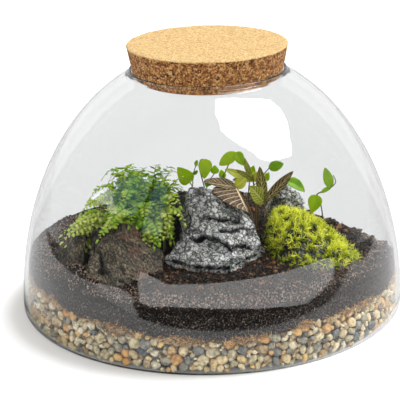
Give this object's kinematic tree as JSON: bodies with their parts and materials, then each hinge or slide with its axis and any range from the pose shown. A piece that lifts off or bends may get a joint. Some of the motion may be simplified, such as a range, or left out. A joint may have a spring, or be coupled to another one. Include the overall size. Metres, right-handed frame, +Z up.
{
  "type": "glass plant terrarium",
  "caption": "Low glass dome with a cork stopper, planted with fern, creeping fig, nerve plant and moss among stones on soil over a gravel layer.",
  "frame": {"origin": "centre of the flat glass base, on the surface that the terrarium stands on", "axes": "+Z up through the middle of the cork; the planted front, with the tall grey rock, faces -Y; +X to the right as seen from the front"},
  "size_m": [0.3, 0.3, 0.2078],
  "materials": {
    "glass": "clear thin blown glass, smooth and glossy",
    "cork": "agglomerated cork: sanded golden-tan top with fine speckle, granular brown side",
    "gravel": "washed rounded pebbles, beige, ochre, orange, grey and slate blue",
    "coconut_fibre": "loose rusty-brown coconut fibre",
    "potting_soil": null,
    "grey_rock": "layered grey rock, part matt and part satin, with cracks",
    "slate": "dark brown-grey slate with fine parallel grain, matt",
    "moss": null,
    "fern_leaf": null,
    "fig_leaf": null,
    "nerve_plant_leaf": null
  },
  "bodies": {
    "root": {"glass_dome": "glass", "cork_stopper": "cork", "gravel_layer": "gravel", "fibre_mat": "coconut_fibre", "potting_soil": "potting_soil", "moss_cushion": "moss", "rock_central": "grey_rock", "rock_rear_left": "grey_rock", "rock_rear_right": "grey_rock", "slate_main": "slate", "slate_small": "slate", "fern_frond_01": "fern_leaf", "fern_frond_02": "fern_leaf", "fern_frond_03": "fern_leaf", "fern_frond_04": "fern_leaf", "fern_frond_05": "fern_leaf", "fern_frond_06": "fern_leaf", "fern_frond_07": "fern_leaf", "fern_frond_08": "fern_leaf", "fern_frond_09": "fern_leaf", "fern_frond_10": "fern_leaf", "fern_frond_11": "fern_leaf", "fern_frond_12": "fern_leaf", "fern_frond_13": "fern_leaf", "fern_frond_14": "fern_leaf", "fern_frond_15": "fern_leaf", "fig_stem_01": "fig_leaf", "fig_stem_02": "fig_leaf", "fig_stem_03": "fig_leaf", "fig_stem_04": "fig_leaf", "fig_stem_05": "fig_leaf", "fig_stem_06": "fig_leaf", "fig_stem_07": "fig_leaf", "nerve_plant_01": "nerve_plant_leaf", "nerve_plant_02": "nerve_plant_leaf", "nerve_plant_03": "nerve_plant_leaf"}
  },
  "joints": []
}
